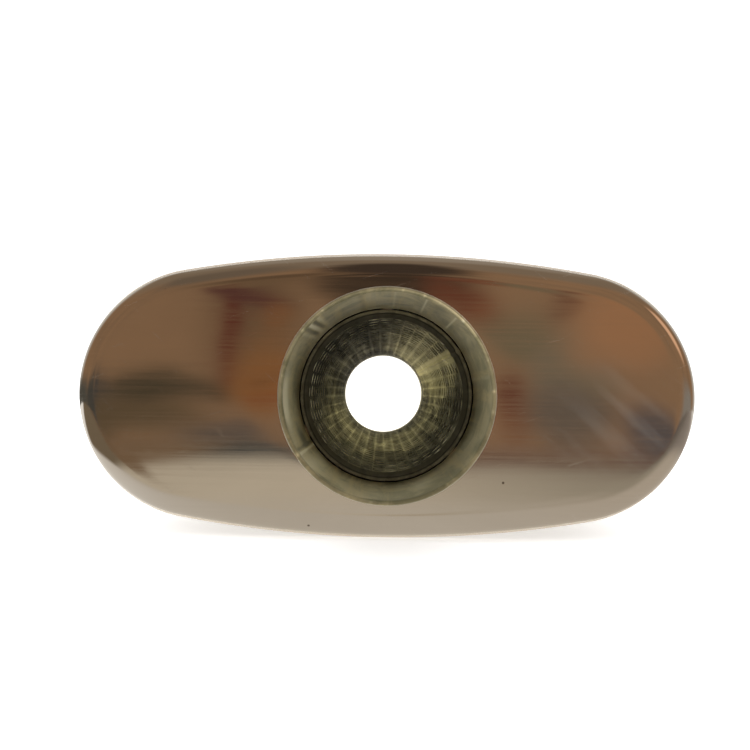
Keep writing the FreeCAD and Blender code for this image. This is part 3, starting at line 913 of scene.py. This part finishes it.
def tube_satin(colours, name):
    """Satin tube: clean and drawn outside, and inside stained in olive and straw patches with
    radial streaks, where the paint called marks_and_light lightens and darkens it: marks and stains,
    plus painted highlights on the lip and painted light on the upper half towards the inner end."""
    finish = Finish(name)
    drawn = finish.noise((160, 9, 160), 4.0, 0.65)
    patch = finish.noise((75, 40, 75), 4.0, 0.65, 0.8)
    fine = finish.noise((700, 60, 700), 2.0, 0.6)
    marks_and_light, inside = finish.painted("marks_and_light"), finish.painted("inside")
    stained = patch.remap(0.42, 0.57).blend(toned(colours.bore, (0.60, 0.625, 0.59)), colours.bore)
    stained = drawn.remap(0.50, 0.72).blend(stained, toned(colours.bore, (1.3, 1.27, 1.2)))
    # towards pale where marks_and_light is above 0, with its painted highlights and painted light, and
    # towards near black below 0
    stained = marks_and_light.remap(0.0, 0.65).blend(stained, (0.98, 0.92, 0.68))
    stained = marks_and_light.remap(0.0, -0.8).blend(stained, (0.10, 0.09, 0.05))
    clean = drawn.remap(0.35, 0.7).blend(toned(colours.tube, 0.82), colours.tube)
    rough = drawn.remap(0.3, 0.7, 0.20, 0.32) + inside.remap(0.0, 1.0, 0.0, 0.13)
    return finish.set(base_color=inside.blend(clean, stained), metallic=inside.remap(0.0, 1.0, 1.0, 0.72),
                      roughness=rough, normal=finish.bump(drawn + fine * 0.35, 0.03 * MM, 0.6))


def core_dull(colours, name):
    """Dull perforated sheet: drawn streaks under soot in patches that darkens round the holes and
    towards both ends. Painted shade lies in a band at each end and on two sides, painted light
    beside the seam, and a painted shadow just inside each end."""
    finish = Finish(name)
    drawn = finish.noise((260, 6, 260), 3.0, 0.6)
    patch = finish.noise((70, 30, 70), 4.0, 0.65, 0.5)
    x, y, z = finish.axes()
    away = abs(y)
    soot_and_shade = patch.remap(0.35, 0.70, -0.20, 0.28) + away.remap(0.06, 0.13, 0.0, 0.36)
    soot_and_shade = soot_and_shade + finish.painted("near_hole") * drawn.remap(0.38, 0.62, 0.12, 0.78)
    # sides where the painted shade is heavier or lighter: the angle in degrees, from, to and the amount; a
    # negative amount is painted light
    sides = ((36, 0.020, 0.030, -0.35), (140, 0.010, 0.029, 0.38), (332, 0.020, 0.030, 0.18))
    for side, low, high, amount in sides:
        turn = math.radians(side)
        towards = x * math.cos(turn) + (z - AXIS_HEIGHT) * math.sin(turn)
        soot_and_shade = soot_and_shade + towards.ease(low, high, 0.0, amount)
    # painted shade in a band at each end, where the necks shade the core; the end face itself keeps less of
    # it
    soot_and_shade = soot_and_shade.maximum(away.ease(0.1500, 0.1550, 0.0, 0.85)) * away.remap(0.1718, 0.1722, 1.0, 0.80)
    soot_and_shade = soot_and_shade.remap(0.0, 1.0)
    bare = drawn.remap(0.40, 0.60).blend(toned(colours.core, 0.55), toned(colours.core, 1.1))
    # painted shadow just inside each end, down towards near black, weaker on the end face
    shade = away.ease(0.1690, 0.1712, 0.0, 0.60) * away.remap(0.1718, 0.1722, 1.0, 0.45)
    tint = shade.blend(soot_and_shade.blend(bare, colours.soot_and_shade), (0.008, 0.007, 0.005))
    rough = patch.remap(0.3, 0.7, 0.26, 0.38) + soot_and_shade * 0.35
    return finish.set(base_color=tint, metallic=soot_and_shade.remap(0.0, 1.0, 1.0, 0.1), roughness=rough,
                      specular_tint=(0.80, 0.74, 0.48), normal=finish.bump(drawn, 0.03 * MM, 0.5))


def cut_edge(colours, name):
    """The punched holes' edges: bare and bright, in uneven patches."""
    finish = Finish(name)
    patch = finish.noise((90, 40, 90), 3.0, 0.6)
    tint = patch.remap(0.42, 0.62).blend(toned(colours.cut, 0.35), colours.cut)
    return finish.set(base_color=tint, metallic=0.35, roughness=0.42)


def weld_metal(colours, name, shine=1.0, heat=1.0, bare=1.0):
    """A bead: bright ripples, straw heat tint in patches, fine grain."""
    finish = Finish(name)
    patch = finish.noise((50, 50, 50), 3.0, 0.6)
    grain = finish.noise(2600.0, 2.0, 0.6)
    tint = patch.remap(0.45, 0.75, 0.0, heat).blend(toned(colours.weld, shine), toned(colours.straw, shine))
    rough = grain.remap(0.3, 0.7, 0.16 / shine, 0.24 / shine)
    relief = finish.bump(grain, 0.01 * MM, 0.4)
    return finish.set(base_color=tint, metallic=bare, roughness=rough, normal=relief)


def wool_metal(colours, name):
    """Steel wool: tangled dark fibres."""
    finish = Finish(name)
    tangle = finish.noise((900, 260, 900), 4.0, 0.75, 2.5)
    tint = tangle.remap(0.4, 0.62).blend(toned(colours.wool, 0.25), colours.wool)
    relief = finish.bump(tangle, 0.4 * MM, 1.0)
    return finish.set(base_color=tint, metallic=0.8, roughness=0.62, normal=relief)


def glass_mat(colours, name):
    """Needled glass fibre: pale tangled threads with pricked dimples."""
    finish = Finish(name)
    thread = finish.noise((500, 500, 160), 4.0, 0.7, 3.0)
    prick = finish.specks(170.0).remap(0.0, 0.35)
    tint = thread.remap(0.35, 0.65).blend(toned(colours.fibre, 0.82), colours.fibre)
    tint = finish.noise(28.0).remap(0.4, 0.7, 0.0, 0.35).blend(tint, (0.84, 0.80, 0.66))
    return finish.set(base_color=tint, roughness=0.9, normal=finish.bump(thread + prick, 0.5 * MM, 0.8))


def pale_floor(colours, name):
    """The studio floor: a matt sheet lit from below, with a breath of mottle."""
    finish = Finish(name)
    tint = finish.noise(3.0, 2.0).blend(toned(colours.floor, 0.985), colours.floor)
    white = (1.0, 1.0, 1.0)
    return finish.set(base_color=tint, roughness=0.85, emission_color=white, emission_strength=0.5)


def room_surround(colours, name):
    """The room that the polished cap mirrors: a warm wall in front with soft things before it,
    dim sides low down, a dim ceiling with a pale lamp over the middle, and a pale back."""
    finish = Finish(name)
    x, y, z = finish.axes()
    stir = finish.noise(16.0, 3.0, 0.5, output="Color")
    bent = finish.vectors("MULTIPLY_ADD", stir, (0.045,) * 3, (-0.0225,) * 3)
    warped = finish.vectors("ADD", finish.place, bent)
    wall = x.ease(-0.25, 0.30).blend(colours.room, toned(colours.room, 1.10))
    wall = finish.noise(7.0).remap(0.40, 0.65, 0.0, 0.35).blend(wall, (0.20, 0.13, 0.08))
    colour = y.ease(-0.05, 0.32).blend(wall, colours.backdrop)
    colour = z.ease(0.44, 0.62).blend(colour, colours.ceiling)
    for centre, half_sizes, tilt, tone, fullness in MIRRORED_PATCHES:
        colour = finish.spot(centre, half_sizes, tilt, warped).ease(0.0, 1.0 / fullness).blend(colour, tone)
    # the daylight beyond the far end, as the bore shows it, and a dim patch in it
    daylight = finish.spot((0, 0.74, 0.05), (0.30, 0.3, 0.22)).remap(0.0, 0.5)
    dim = finish.spot((0.06, 0.74, 0.0), (0.11, 0.3, 0.07)).remap(0.0, 0.5)
    colour = dim.blend(daylight.blend(colour, (0.80, 0.76, 0.50)), (0.30, 0.28, 0.18))
    return finish.glow(colour)


def paper_reflected(colours, name):
    """The pale sheet that the muffler stands on, as its polish shows it: it ends at a wavy
    front edge, with dim boards beyond that, and carries a painted shadow under the muffler and
    painted shade towards the front; it is also dimmer to the right and at the left."""
    finish = Finish(name)
    x, y, _ = finish.axes()
    cloud = finish.noise((5, 3, 5))
    waver = finish.noise((9, 0, 0), 2.0).remap(0.3, 0.7, -0.015, 0.015)
    dent = finish.spot((-0.195, -0.53, 0), (0.055, 9, 9)).ease(0.1, 0.8, 0.0, -0.055)
    reach = y + waver + (dent + (x.ease(-0.03, 0.05, 0.0, -0.025) + x.ease(0.06, 0.12, 0.0, 0.030)))
    front = x.ease(-0.06, 0.16).blend(colours.paper, toned(colours.paper, 0.585))
    front = cloud.remap(0.35, 0.7, 0.0, 0.25).blend(front, toned(colours.paper, 0.8))
    # painted shade: the paper darker towards its front edge
    front = y.remap(-0.57, -0.42, 0.30, 0.0).blend(front, (0.30, 0.25, 0.18))
    # painted shadow of the muffler on the paper under it, and bright paper behind it
    under = x.ease(0.0, 0.14).blend((0.64, 0.57, 0.47), (0.57, 0.485, 0.385))
    behind = x.ease(-0.14, -0.05).blend((1.10, 1.05, 0.98), (0.86, 0.82, 0.76))
    under = (y + x.ease(-0.12, -0.04, 0.09, 0.0)).ease(-0.20, 0.05).blend(under, behind)
    colour = y.ease(-0.34, -0.20).blend(front, under)
    left = (x + y * -0.185).ease(-0.086, -0.108) * y.ease(-0.150, -0.095, 1.0, 0.0)
    left = left * (x + y * 0.6).ease(-0.290, -0.262, 1.0, 0.0)
    colour = left.blend(colour, (0.215, 0.160, 0.102))
    right = x.ease(0.165, 0.225) * y.ease(-0.12, 0.10, 1.0, 0.0)
    colour = right.blend(colour, y.remap(-0.40, -0.10).blend((0.20, 0.165, 0.135), (0.40, 0.34, 0.29)))
    boards = x.ease(-0.18, -0.125).blend((0.22, 0.135, 0.075), (0.075, 0.074, 0.066))
    boards = x.ease(-0.02, 0.10).blend(boards, (0.185, 0.110, 0.078))
    boards = x.ease(0.24, 0.28).blend(boards, (0.13, 0.11, 0.10))
    return finish.glow(reach.remap(-0.518, -0.503).blend(boards, colour))


def seen_only_mirrored(thing):
    """The thing shows in polished metal and nowhere else."""
    thing.visible_camera = False
    thing.visible_diffuse = False
    thing.visible_shadow = False
    thing.visible_transmission = False
    thing.visible_volume_scatter = False


class MUFFLER_OT_stage(bpy.types.Operator):
    """Sets up the camera, the pale floor, the lights and the room that the polish mirrors"""

    bl_idname = "muffler.stage"
    bl_label = "Stage"

    def execute(self, context):
        scene = context.scene
        colours = scene.muffler_colours
        self.camera(scene)
        self.world(scene)
        self.floor(scene, colours)
        self.surroundings(scene, colours)
        self.lamps(scene)
        return {"FINISHED"}

    def camera(self, scene):
        """The gas axis runs away from the camera and vanishes at (7.1, -18.4) px from the
        picture's middle, and the level is rolled by 0.7 degrees."""
        place = (-0.00183, -0.475, 0.0545)
        focal, picture = 822.0, 750.0
        roll = math.radians(0.7)
        along = Vector((7.1, -18.4, -focal)).normalized()
        across = Vector((math.cos(roll), -math.sin(roll), 0))
        across = (across - along * across.dot(along)).normalized()
        up = across.cross(along)
        turn = Matrix((across, along, up)).to_4x4()
        data = bpy.data.cameras.new("photo_camera")
        data.sensor_width = 36.0
        data.lens = focal / picture * data.sensor_width
        data.shift_x = 1.0 / picture
        data.shift_y = -1.0 / picture
        data.clip_start = 0.01
        camera = bpy.data.objects.new("photo_camera", data)
        camera.matrix_world = Matrix.Translation(place) @ turn
        scene.collection.objects.link(camera)
        scene.camera = camera

    def world(self, scene):
        world = bpy.data.worlds.new("studio_air")
        world.use_nodes = True
        air = world.node_tree.nodes["Background"]
        air.inputs["Color"].default_value = (1.0, 1.0, 1.0, 1)
        air.inputs["Strength"].default_value = 1.5
        scene.world = world
        scene.view_settings.view_transform = "Standard"
        scene.cycles.use_denoising = True
        scene.cycles.max_bounces = 12
        scene.cycles.glossy_bounces = 10
        scene.cycles.diffuse_bounces = 3

    def floor(self, scene, colours):
        """A disc of four rings and 96 spokes."""
        reach, angle = np.array([4.0, 1.5, 0.5, 0.02])[:, None], whole_turn(96)
        grid = np.stack(np.broadcast_arrays(reach * np.cos(angle), reach * np.sin(angle), 0), -1)
        mesh = rod_mesh("studio_floor", grid, closed_start=False)
        floor = bpy.data.objects.new("studio_floor", mesh)
        mesh.materials.append(pale_floor(colours, "pale_floor"))
        floor.visible_glossy = False
        scene.collection.objects.link(floor)

    def surroundings(self, scene, colours):
        """A half ball round the muffler, radius * (sin a cos e, -cos a cos e, sin e), and a disc
        under it."""
        radius = 0.74
        level, angle = np.radians(steps(0, 89, 24)), whole_turn(96)
        across, along = np.sin(angle) * np.cos(level), -np.cos(angle) * np.cos(level)
        ball = radius * np.stack(np.broadcast_arrays(across, along, np.sin(level)), -1)
        disc = ball[:1] * np.array([1.0, 0.5, 0.02])[:, None, None] - [0, 0, 0.05 * MM]
        for name, grid, finish in (
            ("mirrored_room", ball, room_surround(colours, "mirrored_room")),
            ("mirrored_paper", disc, paper_reflected(colours, "mirrored_paper")),
        ):
            thing = bpy.data.objects.new(name, rod_mesh(name, grid, closed_start=False))
            thing.data.materials.append(finish)
            seen_only_mirrored(thing)
            scene.collection.objects.link(thing)

    def lamps(self, scene):
        for name, place, power, size in (
            ("overhead_softbox", (0.0, 0.1, 1.5), 9.0, 1.6),
            ("front_softbox", (-0.5, -1.3, 1.1), 3.0, 1.0),
        ):
            data = bpy.data.lights.new(name, "AREA")
            data.energy = power
            data.size = size
            lamp = bpy.data.objects.new(name, data)
            lamp.location = place
            towards = Vector((0, 0, 0.05)) - Vector(place)
            lamp.rotation_euler = towards.to_track_quat("-Z", "Y").to_euler()
            lamp.visible_camera = False
            lamp.visible_glossy = False
            scene.collection.objects.link(lamp)


class MUFFLER_OT_end_caps(bpy.types.Operator):
    """Presses the two end caps with their rounded edges"""

    bl_idname = "muffler.end_caps"
    bl_label = "End caps"

    def execute(self, context):
        sizes, colours = context.scene.muffler_sizes, context.scene.muffler_colours
        finish = polished_sheet(colours, "polished_cap", (0.045, 0.14, 0.0008))
        front = cap_mesh(sizes, "front_cap_sheet", 0.7)
        rear = mirrored(cap_mesh(sizes, "rear_cap_sheet", 2.9), "rear_cap_sheet")
        add_piece("front_cap_sheet", front, finish, "polished_sheet", "front_end_cap")
        add_piece("rear_cap_sheet", rear, finish, "polished_sheet", "rear_end_cap")
        return {"FINISHED"}


class MUFFLER_OT_wrapper(bpy.types.Operator):
    """Rolls the body's wrapper and lays its long weld"""

    bl_idname = "muffler.wrapper"
    bl_label = "Wrapper"

    def execute(self, context):
        sizes, colours = context.scene.muffler_sizes, context.scene.muffler_colours
        finish = polished_sheet(colours, "polished_wrapper", (0.0011, 0.2, 0.0011))
        wrapper = wrapper_mesh(sizes, "rolled_wrapper")
        add_piece("rolled_wrapper", wrapper, finish, "polished_sheet", "body_shell")
        oval = Oval(sizes, 8)
        end = sizes.shell_end
        seam = long_bead_mesh("wrapper_seam", oval.side_radius, oval.side_centre, 0.0, sizes.seam_width,
                              sizes.seam_height, -end, end, sizes.bead_ripple * 2, 1.9 * MM)
        bead = weld_metal(colours, "seam_bead", heat=0.35)
        add_piece("wrapper_seam", seam, bead, "weld", "shell_seam_weld")
        return {"FINISHED"}


class MUFFLER_OT_rim_welds(bpy.types.Operator):
    """Welds both caps to the wrapper"""

    bl_idname = "muffler.rim_welds"
    bl_label = "Rim welds"

    def execute(self, context):
        sizes, colours = context.scene.muffler_sizes, context.scene.muffler_colours
        finish = weld_metal(colours, "rim_bead", 1.3, heat=0.2, bare=0.68)
        front = rim_weld_mesh(sizes, "front_rim_bead")
        add_piece("front_rim_bead", front, finish, "weld", "front_cap_weld")
        add_piece("rear_rim_bead", mirrored(front, "rear_rim_bead"), finish, "weld", "rear_cap_weld")
        return {"FINISHED"}


class MUFFLER_OT_necks(bpy.types.Operator):
    """Makes the two necks, their own long welds and the fillets that hold them"""

    bl_idname = "muffler.necks"
    bl_label = "Necks"

    def execute(self, context):
        sizes, colours = context.scene.muffler_sizes, context.scene.muffler_colours
        tube = tube_satin(colours, "satin_tube")
        bead = weld_metal(colours, "neck_bead", heat=0.6)
        start, end = -sizes.neck_mouth + 0.3 * MM, -sizes.cap_face - sizes.neck_fillet
        seam = long_bead_mesh("inlet_seam_bead", sizes.neck_outer, 0.0, sizes.neck_seam_angle,
                              3.2 * MM, 0.5 * MM, start, end, sizes.bead_ripple, 1.5 * MM)
        neck, fillet = neck_mesh(sizes, "inlet_neck_tube"), fillet_mesh(sizes, "inlet_fillet")
        for part, mesh, finish, slot, inlet, outlet in (
            ("neck_tube", neck, tube, "tube_steel", "inlet_neck", "outlet_neck"),
            ("seam_bead", seam, bead, "weld", "inlet_neck_seam", "outlet_neck_seam"),
            ("fillet", fillet, bead, "weld", "inlet_neck_weld", "outlet_neck_weld"),
        ):
            twin = mirrored(mesh, f"outlet_{part}")
            add_piece(f"inlet_{part}", mesh, finish, slot, inlet)
            add_piece(f"outlet_{part}", twin, finish, slot, outlet)
        return {"FINISHED"}


class MUFFLER_OT_core(bpy.types.Operator):
    """Rolls the perforated core, closes its seam and tacks it to the necks"""

    bl_idname = "muffler.core"
    bl_label = "Perforated core"

    def execute(self, context):
        sizes, colours = context.scene.muffler_sizes, context.scene.muffler_colours
        bead = weld_metal(colours, "dull_bead", 0.4)
        dull = core_dull(colours, "dull_core")
        core = core_mesh(sizes, "perforated_tube")
        add_piece("perforated_tube", core, dull, "tube_steel", "perforated_core")
        core.materials.append(cut_edge(colours, "cut_edge"))
        add_piece("core_seam_bead", core_seam_mesh(sizes, "core_seam_bead"), dull, "weld", "core_seam_weld")
        tacks = tacks_mesh(sizes, "inlet_tack_blobs")
        add_piece("inlet_tack_blobs", tacks, bead, "weld", "inlet_core_tacks")
        twins = mirrored(tacks, "outlet_tack_blobs")
        add_piece("outlet_tack_blobs", twins, bead, "weld", "outlet_core_tacks")
        return {"FINISHED"}


class MUFFLER_OT_packing(bpy.types.Operator):
    """Packs steel wool and glass fibre round the core"""

    bl_idname = "muffler.packing"
    bl_label = "Packing"

    def execute(self, context):
        sizes, colours = context.scene.muffler_sizes, context.scene.muffler_colours
        mat = glass_mat(colours, "glass_mat")
        steel = wool_metal(colours, "steel_wool")
        wool = wool_mesh(sizes, "wool_sleeve")
        wool = add_piece("wool_sleeve", wool, steel, "steel_wool", "steel_wool_sleeve")
        wrap = add_piece("wound_mat", wrap_mesh(sizes, "wound_mat"), mat, "glass_fibre", "core_fibre_wrap")
        right, left = pad_mesh(sizes, "right_pad", 1), pad_mesh(sizes, "left_pad", -1)
        right = add_piece("right_pad", right, mat, "glass_fibre", "right_fibre_pad")
        left = add_piece("left_pad", left, mat, "glass_fibre", "left_fibre_pad")
        return {"FINISHED"}


class MUFFLER_PT_sidebar(bpy.types.Panel):
    """The muffler's steps, sizes and colours"""

    bl_idname = "MUFFLER_PT_sidebar"
    bl_label = "Oval Muffler"
    bl_space_type = "VIEW_3D"
    bl_region_type = "UI"
    bl_category = "Muffler"

    def draw(self, context):
        layout = self.layout
        for operator in OPERATORS:
            layout.operator(operator.bl_idname)
        for group in (context.scene.muffler_sizes, context.scene.muffler_colours):
            box = layout.box()
            for key in group.__annotations__:
                box.prop(group, key)


OPERATORS = (
    MUFFLER_OT_stage,
    MUFFLER_OT_end_caps,
    MUFFLER_OT_wrapper,
    MUFFLER_OT_rim_welds,
    MUFFLER_OT_necks,
    MUFFLER_OT_core,
    MUFFLER_OT_packing,
)
CLASSES = (MufflerSizes, MufflerColours, *OPERATORS, MUFFLER_PT_sidebar)


def register():
    for made in CLASSES:
        bpy.utils.register_class(made)
    bpy.types.Scene.muffler_sizes = PointerProperty(type=MufflerSizes)
    bpy.types.Scene.muffler_colours = PointerProperty(type=MufflerColours)


def unregister():
    del bpy.types.Scene.muffler_colours
    del bpy.types.Scene.muffler_sizes
    for made in reversed(CLASSES):
        bpy.utils.unregister_class(made)


def main():
    register()
    bpy.ops.muffler.stage()
    bpy.ops.muffler.end_caps()
    bpy.ops.muffler.wrapper()
    bpy.ops.muffler.rim_welds()
    bpy.ops.muffler.necks()
    bpy.ops.muffler.core()
    bpy.ops.muffler.packing()


if __name__ == "__main__":
    main()
